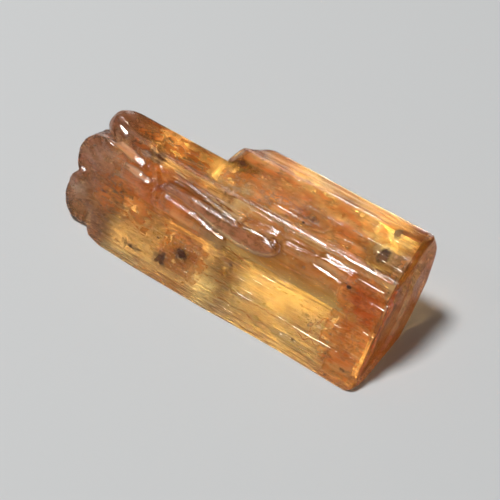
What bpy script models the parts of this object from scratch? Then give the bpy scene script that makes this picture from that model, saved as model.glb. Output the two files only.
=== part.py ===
"""A rough topaz crystal, lying on one of its long prism faces.

Two prisms have grown together side by side into one stone. The front one runs the whole length, the
rear one is shorter and stands a little higher. Both have striated sides. One end is the flat cleavage
that topaz breaks along, square to its length. The other end is etched into a rounded, knobbly one.

Outlines are in millimetres. Along is the distance from the cleaved end, and it is negative. Out is the
depth from the foot of the broad front face, and up is the height above the table.
+X points to the cleaved end, -Y to the broad front face, +Z up. The origin is on the table, under the
middle of the stone.
"""

import math

import bmesh
import bpy
from mathutils import Matrix, Vector

MM = 0.001

# The whole stone
LENGTH = 30.0
DEPTH_MIDDLE = 4.93

# The edge where the broad front face meets the top, at about topaz's prism angle of 124 degrees
RIDGE = (5.29, 7.37)

# Corners of the two sections, out and up, anticlockwise as seen from the cleaved end. Both sections
# reach below the table, which trims them flat. Faces that start at the listed corners have no grooves.
FRONT_CORNERS = [
    (-0.36, -0.5),
    (6.45, -0.5),
    (6.75, 0.3),
    (8.45, 2.3),
    (8.85, 4.6),
    (8.3, 6.6),
    (7.42, 7.95),
    (RIDGE[0] + 0.1, RIDGE[1] - 0.06),
]
FRONT_SMOOTH = {0, 1, 5}
REAR_CORNERS = [
    (3.2, -0.5),
    (6.3, -0.5),
    (6.75, 0.1),
    (8.3, 1.6),
    (9.9, 3.8),
    (10.42, 5.6),
    (10.5, 7.1),
    (10.32, 8.42),
    (8.93, 8.66),
    RIDGE,
    (4.0, 4.0),
]
REAR_SMOOTH = {0, 1, 5, 6, 9, 10}

# Where the two prisms begin. The front one reaches past the dome that rounds its etched end.
FRONT_LEFT = -30.6
REAR_LEFT = -17.55

# How far the foot of the front face leans out at the etched end, and how far behind the face it fades
FOOT_FLARE = 0.75
FLARE_BAND = 1.0

# The striations: shallow grooves along the prism faces
GROOVE_PITCH = 0.75
GROOVE_DEPTH = 0.045

# The worn edges
EDGE_WEAR = 0.28
WEAR_ANGLE = math.radians(33)

# Points nearer than this are one point, and faces flatter than this are one face
WELD = 0.0001
FLAT_ANGLE = math.radians(0.5)

# The low plate that stands proud of the front face, below the ridge
PLATE_LEFT, PLATE_RIGHT = -19.8, -3.4
PLATE_LOW, PLATE_HIGH = 4.6, 8.05
PLATE_THICK = 0.32
PLATE_RAMP = 1.2
PLATE_TREAD = 0.25
PLATE_ROOT = 0.4

# The big ellipsoid that rounds the etched end: along, out, up, and the three radii
DOME = ((0.0, 3.2, 3.0), (30.0, 17.0, 16.0))
DOME_SEGMENTS, DOME_RINGS = 112, 80

# Knobs of the etched end: along, out, up, and the three radii
KNOBS = {
    "foot_knob": ((-27.5, 2.5, 1.75), (2.45, 1.9, 1.6)),
    "face_knob": ((-27.4, 3.95, 3.65), (2.5, 1.75, 1.7)),
    "ridge_knob": ((-27.1, 5.2, 5.45), (2.4, 1.7, 1.6)),
    "top_knob": ((-26.7, 6.3, 6.75), (1.5, 1.35, 1.35)),
    "back_knob": ((-26.6, 7.0, 3.3), (2.6, 1.8, 2.0)),
    "high_back_knob": ((-26.2, 6.9, 5.3), (2.5, 1.5, 1.7)),
}

# Etched hollows, and the gaps between the knobs: along, out, up, and the three radii
HOLLOWS = {
    "ridge_hollow": ((-24.6, 4.45, 8.1), (2.3, 1.25, 1.05)),
    "front_hollow": ((-22.3, 3.25, 6.85), (1.7, 0.8, 0.9)),
    "top_gap": ((-28.75, 5.1, 7.45), (0.9, 1.6, 0.6)),
    "high_gap": ((-30.2, 3.9, 4.7), (1.1, 2.4, 0.4)),
    "low_gap": ((-30.3, 2.8, 2.75), (1.1, 2.4, 0.4)),
    "back_gap": ((-29.8, 6.1, 3.6), (1.4, 0.5, 2.4)),
}
BALL_SEGMENTS, BALL_RINGS = 24, 14

# Chips: a point on each, the way that it faces, and the size of the block that cuts it
CHIPS = {
    "low_back_chip": ((0.0, 6.3, 0.35), (0.75, 0.3, -0.58), 4.0),
    "high_corner_chip": ((-0.1, 10.0, 8.35), (0.55, 0.6, 0.58), 4.0),
    "foot_chip": ((0.0, 0.35, 0.3), (0.62, -0.62, -0.48), 4.0),
    "left_foot_chip": ((-27.2, 0.2, 0.22), (-0.26, -0.5, -0.83), 7.0),
    "left_back_chip": ((-27.9, 7.6, 7.3), (-0.6, 0.62, 0.5), 3.0),
}
SHOULDER_CHIPS = {
    "shoulder_corner_chip": ((-16.85, 9.3, 8.7), (-0.62, 0.6, 0.5), 4.0),
    "shoulder_low_chip": ((-17.2, 10.0, 4.0), (-0.7, 0.71, 0.0), 9.0),
}


def clear_scene():
    for thing in list(bpy.data.objects):
        bpy.data.objects.remove(thing)


def collection(name):
    group = bpy.data.collections.new(name)
    bpy.context.scene.collection.children.link(group)
    return group


def spot(along, out, up):
    """A point of the stone in metres, from its millimetre measures."""
    return Vector((along + LENGTH / 2, out - DEPTH_MIDDLE, up)) * MM


def grooved(start, end):
    """Points from start up to but not including end: every second one sinks into a shallow groove.

    The depth of the grooves swells and fades across the face.
    """
    run = Vector(end) - Vector(start)
    inward = Vector((-run.y, run.x)).normalized()
    pairs = max(1, round(run.length / GROOVE_PITCH))
    points = []
    for i in range(2 * pairs):
        sink = GROOVE_DEPTH * (0.7 + 0.3 * math.sin(2.4 * i)) if i % 2 else 0.0
        points.append(Vector(start) + run * (i / (2 * pairs)) + inward * sink)
    return points


def outline(corners, smooth):
    """A closed outline of grooved faces. The faces that start at a smooth corner stay flat."""
    points = []
    for i, corner in enumerate(corners):
        following = corners[(i + 1) % len(corners)]
        points += [Vector(corner)] if i in smooth else grooved(corner, following)
    return points


def prism(name, points, left, right, group):
    """The outline of out and up points, drawn along the stone from left to right, as a mesh."""
    curve = bpy.data.curves.new(name, "CURVE")
    curve.dimensions = "2D"
    curve.fill_mode = "BOTH"
    curve.extrude = (right - left) / 2 * MM
    spline = curve.splines.new("POLY")
    spline.points.add(len(points) - 1)
    for target, point in zip(spline.points, points, strict=True):
        target.co = ((point.x - DEPTH_MIDDLE) * MM, point.y * MM, 0.0, 1.0)
    spline.use_cyclic_u = True
    drawn = bpy.data.objects.new(name, curve)
    # The curve's own X, Y and Z become the stone's Y, Z and X.
    turn = Matrix(((0, 0, 1, 0), (1, 0, 0, 0), (0, 1, 0, 0), (0, 0, 0, 1)))
    middle = Vector(((left + right + LENGTH) / 2 * MM, 0, 0))
    drawn.matrix_world = Matrix.Translation(middle) @ turn
    bpy.context.scene.collection.objects.link(drawn)
    return as_mesh(drawn, group)


def as_mesh(drawn, group):
    """Replaces a curve object by a mesh object with welded caps, placed in its mesh."""
    bpy.context.view_layer.update()
    evaluated = drawn.evaluated_get(bpy.context.evaluated_depsgraph_get())
    mesh = bpy.data.meshes.new_from_object(evaluated)
    mesh.transform(drawn.matrix_world)
    work = bmesh.new()
    work.from_mesh(mesh)
    bmesh.ops.remove_doubles(work, verts=work.verts, dist=WELD * MM)
    bmesh.ops.dissolve_limit(work, angle_limit=FLAT_ANGLE, verts=work.verts, edges=work.edges)
    bmesh.ops.recalc_face_normals(work, faces=work.faces)
    work.to_mesh(mesh)
    work.free()
    name = drawn.name
    curve = drawn.data
    bpy.data.objects.remove(drawn)
    bpy.data.curves.remove(curve)
    made = bpy.data.objects.new(name, mesh)
    mesh.name = name
    group.objects.link(made)
    return made


def wear(thing):
    """Rounds the sharp edges, and leaves the grooves as they are."""
    bevel = thing.modifiers.new("Worn edges", "BEVEL")
    bevel.width = EDGE_WEAR * MM
    bevel.segments = 2
    bevel.limit_method = "ANGLE"
    bevel.angle_limit = WEAR_ANGLE


def guide(thing):
    """Marks a body that only shapes the stone."""
    thing.hide_render = True
    thing.display_type = "WIRE"
    return thing


def shaped(work, name, matrix, group):
    """Places the bmesh by the matrix and keeps it as a shaping body."""
    bmesh.ops.transform(work, matrix=matrix, verts=work.verts)
    mesh = bpy.data.meshes.new(name)
    work.to_mesh(mesh)
    work.free()
    made = bpy.data.objects.new(name, mesh)
    group.objects.link(made)
    return guide(made)


def ball(name, middle, radii, group, segments=BALL_SEGMENTS, rings=BALL_RINGS):
    """An ellipsoid at a measured spot."""
    work = bmesh.new()
    bmesh.ops.create_uvsphere(work, u_segments=segments, v_segments=rings, radius=1.0)
    size = Matrix.Diagonal((*(Vector(radii) * MM), 1.0))
    return shaped(work, name, Matrix.Translation(spot(*middle)) @ size, group)


def chip(name, point, facing, size, group):
    """A block whose one side passes through the point and cuts off what lies beyond it."""
    work = bmesh.new()
    bmesh.ops.create_cube(work, size=size * MM)
    normal = Vector(facing).normalized()
    turn = normal.to_track_quat("Z", "Y").to_matrix().to_4x4()
    middle = spot(*point) + normal * (size / 2 * MM)
    return shaped(work, name, Matrix.Translation(middle) @ turn, group)


def table(group):
    """A block whose top is the table. It trims the stone's resting face flat."""
    work = bmesh.new()
    side = LENGTH * 1.4 * MM
    bmesh.ops.create_cube(work, size=side)
    return shaped(work, "table", Matrix.Translation((0.0, 0.0, -side / 2)), group)


def on_front(along_face, proud):
    """A point at a distance up the broad front face, standing proud of it."""
    up_face = Vector(RIDGE).normalized()
    outward = Vector((-up_face.y, up_face.x))
    return up_face * along_face + outward * proud


def plate_outline():
    """The raised plate: it thins to its low edge, and a narrow tread slopes in at its high edge."""
    return [
        on_front(PLATE_HIGH, -PLATE_ROOT),
        on_front(PLATE_HIGH, 0.0),
        on_front(PLATE_HIGH - PLATE_TREAD, PLATE_THICK),
        on_front(PLATE_LOW + PLATE_RAMP, PLATE_THICK),
        on_front(PLATE_LOW, 0.0),
        on_front(PLATE_LOW, -PLATE_ROOT),
    ]


def flare_foot(thing):
    """Leans the front face out towards the etched end, most at the foot and not at the ridge."""
    for vertex in thing.data.vertices:
        along, out, up = vertex.co / MM + Vector((-LENGTH / 2, DEPTH_MIDDLE, 0.0))
        if out < up / RIDGE[1] * RIDGE[0] + FLARE_BAND:
            lean = max(0.0, 1.0 - up / RIDGE[1]) * along / FRONT_LEFT
            vertex.co.y -= FOOT_FLARE * lean * MM


def combine(stone, tool, operation):
    step = stone.modifiers.new(tool.name, "BOOLEAN")
    step.operation = operation
    step.solver = "EXACT"
    step.object = tool


def topaz_material():
    material = bpy.data.materials.new("topaz")
    material.use_nodes = True
    shader = material.node_tree.nodes["Principled BSDF"]
    shader.inputs["Base Color"].default_value = (0.72, 0.33, 0.09, 1.0)
    shader.inputs["Metallic"].default_value = 0.0
    shader.inputs["Roughness"].default_value = 0.12
    shader.inputs["IOR"].default_value = 1.62
    shader.inputs["Transmission Weight"].default_value = 0.8
    return material


def build():
    clear_scene()
    parts = collection("Topaz crystal")
    cutters = collection("Shaping bodies")

    front = outline(FRONT_CORNERS, FRONT_SMOOTH)
    stone = prism("topaz_crystal", front, FRONT_LEFT, 0.0, parts)
    flare_foot(stone)
    wear(stone)

    rear = prism("rear_prism", outline(REAR_CORNERS, REAR_SMOOTH), REAR_LEFT, 0.0, cutters)
    wear(rear)
    for name, (point, facing, size) in SHOULDER_CHIPS.items():
        combine(rear, chip(name, point, facing, size, cutters), "DIFFERENCE")
    guide(rear)
    plate = guide(prism("front_plate", plate_outline(), PLATE_LEFT, PLATE_RIGHT, cutters))

    combine(stone, rear, "UNION")
    combine(stone, plate, "UNION")
    combine(stone, ball("dome", *DOME, cutters, DOME_SEGMENTS, DOME_RINGS), "INTERSECT")
    for name, (middle, radii) in KNOBS.items():
        combine(stone, ball(name, middle, radii, cutters), "UNION")
    for name, (middle, radii) in HOLLOWS.items():
        combine(stone, ball(name, middle, radii, cutters), "DIFFERENCE")
    for name, (point, facing, size) in CHIPS.items():
        combine(stone, chip(name, point, facing, size, cutters), "DIFFERENCE")
    combine(stone, table(cutters), "DIFFERENCE")

    stone.data.materials.append(topaz_material())


build()
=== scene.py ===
# %% [markdown]
# # A rough topaz crystal
# A natural prism of orange topaz lies on one of its long faces. It is one clear piece: what we see is
# its striated skin, the light that its faces throw back inside it, and the small flaws sealed in it.
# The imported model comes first. It fixes the size and the place of everything that follows.

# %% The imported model
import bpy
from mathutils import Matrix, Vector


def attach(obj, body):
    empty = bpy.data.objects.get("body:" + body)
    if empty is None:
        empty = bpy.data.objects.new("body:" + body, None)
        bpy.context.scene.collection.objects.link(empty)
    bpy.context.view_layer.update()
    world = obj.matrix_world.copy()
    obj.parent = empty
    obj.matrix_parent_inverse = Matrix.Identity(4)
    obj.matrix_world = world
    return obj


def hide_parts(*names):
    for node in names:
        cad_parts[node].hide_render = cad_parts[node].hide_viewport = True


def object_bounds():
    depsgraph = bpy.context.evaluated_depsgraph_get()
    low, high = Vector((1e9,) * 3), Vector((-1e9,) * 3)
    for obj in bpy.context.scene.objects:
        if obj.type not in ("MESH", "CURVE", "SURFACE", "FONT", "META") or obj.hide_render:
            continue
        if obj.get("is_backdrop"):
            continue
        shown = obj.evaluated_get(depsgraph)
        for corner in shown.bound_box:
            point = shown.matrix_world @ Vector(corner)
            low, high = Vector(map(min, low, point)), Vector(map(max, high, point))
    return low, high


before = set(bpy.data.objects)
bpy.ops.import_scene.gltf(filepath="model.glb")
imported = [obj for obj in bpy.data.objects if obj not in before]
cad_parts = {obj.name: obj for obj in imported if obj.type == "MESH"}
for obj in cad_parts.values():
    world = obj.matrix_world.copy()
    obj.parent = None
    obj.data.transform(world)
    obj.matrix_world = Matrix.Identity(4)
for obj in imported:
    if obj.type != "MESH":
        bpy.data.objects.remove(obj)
cad_low, cad_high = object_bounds()
print("CAD box in mm", [round(v * 1000, 2) for v in (*cad_low, *cad_high)])

# %% [markdown]
# ## Measures
# The stone is measured in millimetres, in directions that suit it. "Along" is the distance from the
# cleaved end and is negative, "out" is the depth behind the foot of the broad front face, and "up" is the
# height above the table. One function turns such points into the scene's metres.

# %% Measures and frame
import math

import bpy
import numpy as np
from mathutils import Vector

MM = 0.001
LENGTH = 30.0
DEPTH_MIDDLE = 4.93
RIDGE = np.array([5.29, 7.37])
FACE_HEIGHT = float(np.hypot(*RIDGE))
UP_FACE = RIDGE / FACE_HEIGHT
FACE_NORMAL = np.array([0.0, -UP_FACE[1], UP_FACE[0]])
CAD_LOW = np.array(cad_low) / MM + (-LENGTH / 2, DEPTH_MIDDLE, 0.0)
CAD_HIGH = np.array(cad_high) / MM + (-LENGTH / 2, DEPTH_MIDDLE, 0.0)


def to_scene(points):
    """Along, out and up in millimetres become x, y and z in metres: a shift and a scale."""
    return (np.asarray(points, float) + (LENGTH / 2, -DEPTH_MIDDLE, 0.0)) * MM


print("front face rises over", round(FACE_HEIGHT, 2), "mm")

# %% [markdown]
# ## Soft steps and noise
# Worn and etched surfaces have no sharp jumps, so every feature is switched on with a soft step. The small
# irregularities come from value noise: random heights on a grid, with smooth curves between them.

# %% Soft steps and noise


def soft_step(low, high, value):
    """0 below low, 1 above high, and the cubic 3t^2 - 2t^3 between."""
    t = np.clip((value - low) / (high - low), 0.0, 1.0)
    return t * t * (3.0 - 2.0 * t)


def bell(distance, width):
    """exp(-(distance / width)^2): 1 in the middle, about a third one width away."""
    return np.exp(-((distance / width) ** 2))


def lattice(i, j, seed):
    """A repeatable random number from 0 to 1 for each grid point: the far digits of a large sine."""
    return np.modf(np.abs(np.sin(i * 127.1 + j * 311.7 + seed * 74.7) * 43758.5453))[0]


def noise(u, v, seed=0):
    """Value noise from -1 to 1: the four grid numbers round a point, mixed by soft steps in u and v."""
    i, j = np.floor(u), np.floor(v)
    a, b = soft_step(0.0, 1.0, u - i), soft_step(0.0, 1.0, v - j)
    low = lattice(i, j, seed) * (1 - a) + lattice(i + 1, j, seed) * a
    high = lattice(i, j + 1, seed) * (1 - a) + lattice(i + 1, j + 1, seed) * a
    return 2.0 * (low * (1 - b) + high * b) - 1.0


def rough_noise(u, v, seed=0, octaves=3):
    """Noise on noise: each octave is twice as fine and half as high."""
    return sum(noise(u * 2**k, v * 2**k, seed + k) / 2**k for k in range(octaves))


print("noise at one spot", round(float(noise(np.array(1.3), np.array(2.7))), 3))

# %% Distances to paths and outlines


def from_path(path, u, v):
    """Distance to a path of points: the shortest distance to any of its straight legs."""
    nearest = np.full(np.shape(u), 1e9)
    for (u0, v0), (u1, v1) in zip(path[:-1], path[1:], strict=True):
        run_u, run_v = u1 - u0, v1 - v0
        t = np.clip(((u - u0) * run_u + (v - v0) * run_v) / (run_u**2 + run_v**2), 0.0, 1.0)
        nearest = np.minimum(nearest, np.hypot(u - u0 - t * run_u, v - v0 - t * run_v))
    return nearest


def inside(outline, u, v):
    """Signed distance to a closed outline, positive inside.

    The size is the nearest edge's distance. The sign comes from how many edges a level line crosses.
    """
    closed = [*outline, outline[0]]
    crossings = np.zeros(np.shape(u), int)
    for (u0, v0), (u1, v1) in zip(closed[:-1], closed[1:], strict=True):
        rise = v1 - v0 if v1 != v0 else 1e-9
        crossings += ((v0 > v) != (v1 > v)) & (u < u0 + (v - v0) / rise * (u1 - u0))
    return from_path(closed, u, v) * np.where(crossings % 2 == 1, 1.0, -1.0)


print("a spot 1 mm inside a square", inside([(0, 0), (4, 0), (4, 4), (0, 4)], 1.0, 2.0))

# %% [markdown]
# ## The stone's two sections
# Two prisms have grown together. A prism could be extruded and cut, but the visible stone changes all along:
# the foot leans out, the etched end is domed, and the rear prism starts at a rounded shoulder. So the stone
# is a loft: one section for the front prism alone and one for both together, drawn face by face so that
# each face of one becomes the same face of the other.

# %% The two sections
FACES = {"front": 116, "top": 60, "slope": 24, "back": 52, "under": 24}
FRONT_ALONE = {
    "front": [(0.0, 0.0), (5.29, 7.37)],
    "top": [(5.29, 7.37), (7.42, 7.95)],
    "slope": [(7.42, 7.95), (8.3, 6.6)],
    "back": [(8.3, 6.6), (8.85, 4.6), (8.45, 2.3), (6.75, 0.3), (6.5, 0.0)],
    "under": [(6.5, 0.0), (0.0, 0.0)],
}
BOTH = {
    "front": [(0.0, 0.0), (5.29, 7.37)],
    "top": [(5.29, 7.37), (8.93, 8.66)],
    "slope": [(8.93, 8.66), (10.1, 8.46)],
    "back": [(10.1, 8.46), (10.4, 7.9), (10.47, 7.0), (10.42, 5.6), (9.9, 3.8), (8.3, 1.6), (6.75, 0.1),
             (6.5, 0.0)],
    "under": [(6.5, 0.0), (0.0, 0.0)],
}

# %% Rounded sections
EDGE_RADIUS = 0.06
CROWDING = 0.09


def section(faces):
    """The rounded section as a row of (out, up) points, FACES[name] of them to each face.

    The corners are joined by straight lines. A running mean over the edge radius rounds them. Points crowd
    towards a face's ends, where the edges are: their place is t minus a share of sin(2 pi t).
    """
    corners = np.vstack([np.array(faces[name][:-1]) for name in FACES])
    closed = np.vstack([corners, corners[:1]])
    reach = np.concatenate([[0.0], np.cumsum(np.hypot(*np.diff(closed, axis=0).T))])
    fine = np.linspace(0.0, reach[-1], 6001)[:-1]
    line = np.stack([np.interp(fine, reach, closed[:, k]) for k in (0, 1)], axis=1)
    half = max(1, round(EDGE_RADIUS / (fine[1] - fine[0])))
    for _ in range(2):
        line = sum(np.roll(line, shift, axis=0) for shift in range(-half, half + 1)) / (2 * half + 1)
    places, start = [], 0
    for name, count in FACES.items():
        stop = start + len(faces[name]) - 1
        t = np.arange(count) / count
        t = t - CROWDING * np.sin(2 * np.pi * t)
        places.append(reach[start] + (reach[stop] - reach[start]) * t)
        start = stop
    places = np.concatenate(places)
    return np.stack([np.interp(places, fine, line[:, k], period=reach[-1]) for k in (0, 1)], axis=1)


def face_values(values):
    """A number for each section point: linear along each face between the values at its two ends."""
    names = list(FACES)
    ends = [values[name] for name in names] + [values[names[0]]]
    pairs = zip(names, ends, ends[1:], strict=False)
    return np.concatenate([a + (b - a) * np.arange(FACES[name]) / FACES[name] for name, a, b in pairs])


alone, both = section(FRONT_ALONE), section(BOTH)
print("section points", len(alone), "widest out", both[:, 0].max().round(2))

# %% [markdown]
# ## Stations along the stone
# The loft needs to know how big the section is at each station. In the middle it keeps its size. At the
# etched end it shrinks like a quarter of a squared-off circle, which makes the dome. At the cleaved end it
# closes in the plane of the cleavage, with a small worn edge first. The stations are closest at the shoulder.

# %% Stations
DOME_START = -26.0
DOME_REACH = 3.9
DOME_POWER = 0.56
CENTRE = np.array([4.1, 3.3])
WORN_EDGE = 0.09
BODY_STATIONS = 256
SPACING, CLOSER, CLOSER_AT, CLOSER_REACH = 0.115, 0.055, -17.2, 0.7

dome_turn = np.linspace(np.pi / 2, 0.0, 58)[:-1]
dome_along = DOME_START - DOME_REACH * np.sin(dome_turn) ** DOME_POWER
dome_scale = np.cos(dome_turn) ** DOME_POWER
dome_scale[0] = 0.0

fine_along = np.linspace(DOME_START, -WORN_EDGE, 2000)
spacing = SPACING - CLOSER * bell(fine_along - CLOSER_AT, CLOSER_REACH)
station_number = np.cumsum(1.0 / spacing)
station_number *= (BODY_STATIONS - 1) / station_number[-1]
body_along = np.interp(np.arange(BODY_STATIONS), station_number, fine_along)
body_along[0] = DOME_START

edge_turn = np.linspace(0.0, np.pi / 2, 5)[1:]
edge_along = -WORN_EDGE + WORN_EDGE * np.sin(edge_turn)
edge_scale = 1.0 - 0.02 * (1.0 - np.cos(edge_turn))
end_scale = np.linspace(0.98, 0.0, 30)[1:]

station_along = np.concatenate([dome_along, body_along, edge_along, np.zeros_like(end_scale)])
station_scale = np.concatenate([dome_scale, np.ones_like(body_along), edge_scale, end_scale])
print("stations", len(station_along), "grid points", len(station_along) * len(alone))

# %% [markdown]
# ## The plain loft
# Each station mixes the two sections. The mix goes from the front prism alone to both within a third of a
# millimetre, and it starts at a slightly different place on each face, which rounds the shoulder as on
# the stone. Towards the etched end the foot of the front face leans out.

# %% The plain loft
SHOULDER = {"front": -17.4, "top": -17.62, "slope": -17.1, "back": -16.3, "under": -17.4}
SHOULDER_WIDTH = {"front": 0.42, "top": 0.42, "slope": 0.6, "back": 1.7, "under": 0.6}
SHOULDER_WANDER = 0.25
FOOT_LEAN = np.array([(-30.0, -0.9), (-28.0, -0.45), (-26.4, 0.1), (-24.6, 0.5), (-21.0, 0.55),
                      (-14.0, 0.38), (-10.0, 0.2), (-6.0, 0.04), (0.0, 0.0)])
LEAN_DEPTH = 5.0


def plain_loft():
    """Grid of points: P = centre + scale * ((1 - w) * alone + w * both - centre), w a soft step in along.

    The foot's lean moves points forward by lean(along) * (1 - up / ridge height), on the front face and,
    fading, under the stone.
    """
    along = station_along[:, None] + 0.0 * alone[None, :, 0]
    start = face_values(SHOULDER)[None, :]
    start = start + SHOULDER_WANDER * noise(alone[None, :, 1] * 1.3, alone[None, :, 0], 43)
    w = soft_step(start, start + face_values(SHOULDER_WIDTH)[None, :], along)[..., None]
    outline = (1.0 - w) * alone + w * both
    face_out = outline[..., 1] / RIDGE[1] * RIDGE[0]
    front = np.clip(1.0 - outline[..., 0] / (face_out + LEAN_DEPTH), 0.0, 1.0)
    lean = np.interp(along, FOOT_LEAN[:, 0], FOOT_LEAN[:, 1])
    lean = lean * np.clip(1.0 - outline[..., 1] / RIDGE[1], 0.0, 1.0) * soft_step(0.0, 0.9, front)
    outline = outline - np.stack([lean, 0.0 * lean], axis=-1)
    outline = CENTRE + station_scale[:, None, None] * (outline - CENTRE)
    return np.concatenate([along[..., None], outline], axis=-1)


def normals(grid):
    """Unit normals: the cross product of the differences along the two grid directions, facing outwards."""
    step_u = np.gradient(grid, axis=0)
    step_v = np.roll(grid, -1, axis=1) - np.roll(grid, 1, axis=1)
    across = np.cross(step_u, step_v)
    size = np.linalg.norm(across, axis=-1, keepdims=True)
    return across / np.maximum(size, 1e-12)


grid = plain_loft()
print("loft", grid.reshape(-1, 3).min(axis=0).round(2), grid.reshape(-1, 3).max(axis=0).round(2))

# %% [markdown]
# ## Chips along the heel
# The lower back edge, the heel, is broken out in places. Noise that changes slowly along the stone says
# where: where it is positive, the points near the heel move forward. A bell round the heel fades them out.

# %% Chips along the heel
HEEL_OUT = 6.5
CHIP_DEPTH, CHIP_REACH = 0.32, 0.5
FULL_SIZE = 0.99

in_body = station_scale[:, None] > FULL_SIZE
level = 0.0 * grid[..., 0]
chipped = np.maximum(noise(grid[..., 0] * 2.3, level, 41) + 0.6 * noise(grid[..., 0] * 5.1, level, 42), 0.0)
from_heel = np.hypot(grid[..., 1] - HEEL_OUT, grid[..., 2])
grid[..., 1] -= CHIP_DEPTH * chipped * bell(from_heel, CHIP_REACH) * in_body
facing = normals(grid)
print("front face normal", facing[180, 60].round(2), "top normal", facing[180, 140].round(2))

# %% [markdown]
# ## Reading a place on the skin
# Features are placed as a person would measure them on the stone: by the distance along it, and by the
# distance up the front face and on over the top. That second distance is the arc length round the section.

# %% Places on the skin
MIDDLE_STATION = 150

along = grid[..., 0]
ring_step = np.linalg.norm(np.diff(grid[..., 1:], axis=1), axis=-1)
around = np.concatenate([np.zeros((len(grid), 1)), np.cumsum(ring_step, axis=1)], axis=1)
around /= np.maximum(station_scale[:, None], 0.05)
T = float(around[MIDDLE_STATION, FACES["front"]])

column = np.arange(grid.shape[1])[None, :] + 0.0 * along
top_at, slope_at = FACES["front"], FACES["front"] + FACES["top"]
back_at, under_at = slope_at + FACES["slope"], slope_at + FACES["slope"] + FACES["back"]
on_front, on_top = column < top_at, (column >= top_at) & (column < slope_at)
on_slope, on_back = (column >= slope_at) & (column < back_at), (column >= back_at) & (column < under_at)
on_under, seen_side = column >= under_at, column < back_at
out, up = grid[..., 1], grid[..., 2]


def along_noise(fine, seed):
    """Noise that changes only along the stone."""
    return noise(along * fine, 0.0 * along, seed)


def patch(outline, edge=0.4):
    """1 inside an outline drawn in distances along and around, with a soft edge."""
    return soft_step(0.0, edge, inside(outline, along, around))


print("the ridge is", round(T, 2), "mm up the front face")

# %% [markdown]
# ## Growth layers, treads and hollows
# The front face has a low plate with a finger-like tongue on it, and narrow ledges below the ridge. Each
# ledge is a step whose tread is parallel to the top of the stone, so it catches the light from above. They
# are all heights above the plain face, worked out for every grid point at once and added up.

# %% Tools for relief


def follow(path):
    """The path's height round the section at each grid point's place along: straight lines between."""
    points = np.array(path)
    return np.interp(along, points[:, 0], points[:, 1])


def between(start, stop, fade=0.4):
    """1 between two places along the stone, with soft ends."""
    return soft_step(start, start + fade, along) * (1.0 - soft_step(stop - fade, stop, along))


def ledge(edge, height, tread=0.3, ramp=0.8, fade=0.4):
    """Proud by height below the edge line, and plain a tread's width above it. It thins out down the ramp."""
    line = follow(edge)
    drop = np.clip((around - line) / tread, 0.0, 1.0)
    rise = soft_step(line - ramp, line - 0.15 * ramp, around)
    return height * (1.0 - drop) * rise * between(edge[0][0], edge[-1][0], fade)


def pillow(outline, height, rounding):
    """A raised patch with a quarter-circle edge: height * sqrt(1 - (1 - d)^2).

    d is the distance from the outline, inwards, over the rounding.
    """
    d = np.clip(inside(outline, along, around) / rounding, 0.0, 1.0)
    return height * np.sqrt(1.0 - (1.0 - d) ** 2)


def line_of(path, width, height):
    """A rib or, with a negative height, a groove along a path: height * bell(distance, width)."""
    return height * bell(from_path(path, along, around), width)


# %% Ledges below the ridge
LEDGES = [  # edge line, height, tread, ramp, fade
    ([(-13.4, 7.85), (-12.0, 7.98), (-11.0, 8.05), (-10.3, 8.02), (-9.9, 7.85)], 0.24, 0.42, 0.8, 0.3),
    ([(-9.9, 7.8), (-8.0, 7.92), (-6.6, 8.06), (-6.2, 8.1)], 0.13, 0.16, 0.7, 0.4),
    ([(-6.6, 8.2), (-6.0, 8.3), (-5.0, 8.25), (-3.7, 8.08), (-3.3, 8.0)], 0.17, 0.4, 0.8, 0.3),
    ([(-7.2, 7.4), (-6.3, 7.3), (-5.0, 7.18), (-4.0, 7.1)], 0.07, 0.14, 1.2, 0.4),
    ([(-20.9, 6.6), (-19.5, 6.42), (-18.0, 6.3), (-17.0, 6.15), (-16.0, 6.0), (-14.6, 5.8), (-13.9, 5.6)],
     0.2, 0.42, 1.3, 0.4),
]
relief = sum(ledge(*row) for row in LEDGES)
print("ledges stand up to", relief.max().round(2), "mm proud")

# %% The tongue and its channel
TONGUE = [(-21.2, 7.0), (-20.6, 7.7), (-18.0, 7.72), (-15.0, 7.5), (-13.0, 7.55), (-11.5, 7.55),
          (-10.5, 7.45), (-9.95, 7.15), (-9.85, 6.7), (-10.3, 6.3), (-11.3, 6.0), (-13.0, 5.95),
          (-15.0, 6.15), (-17.0, 6.55), (-19.0, 6.85), (-20.6, 6.85)]
CHANNEL = [(-20.6, 7.75), (-20.3, 8.3), (-18.5, 8.15), (-17.0, 7.92), (-15.2, 7.62), (-16.5, 7.6),
           (-18.5, 7.72)]
RIM_LINE = [(-20.3, 8.42), (-18.5, 8.25), (-17.0, 8.02), (-15.0, 7.75), (-13.6, 7.72)]
CRACK = [(-20.2, 8.62), (-18.9, 8.42), (-17.6, 8.18), (-15.8, 7.92), (-13.9, 7.68)]
NOTCH = [(-10.5, 7.75), (-10.0, 7.7), (-9.7, 7.4)]
TONGUE_HEIGHT, TONGUE_ROUNDING = 0.34, 0.42
CHANNEL_DEPTH, CHANNEL_ROUNDING = 0.3, 0.3

relief += pillow(TONGUE, TONGUE_HEIGHT, TONGUE_ROUNDING)
relief -= pillow(CHANNEL, CHANNEL_DEPTH, CHANNEL_ROUNDING)
for path, width, height in [(RIM_LINE, 0.12, 0.09), (CRACK, 0.08, -0.1), (NOTCH, 0.2, -0.22)]:
    relief += line_of(path, width, height)
print("tongue and rim stand up to", relief.max().round(2), "mm proud")

# %% [markdown]
# ## The crumple and the hollows
# Between the tongue and the etched end the skin is crumpled, and two scoops are eaten out below the ridge.
# The crumple is ribs and grooves. A scoop is a lip with a shelf behind it: all points above a tilted
# plane sink down to it.

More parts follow.
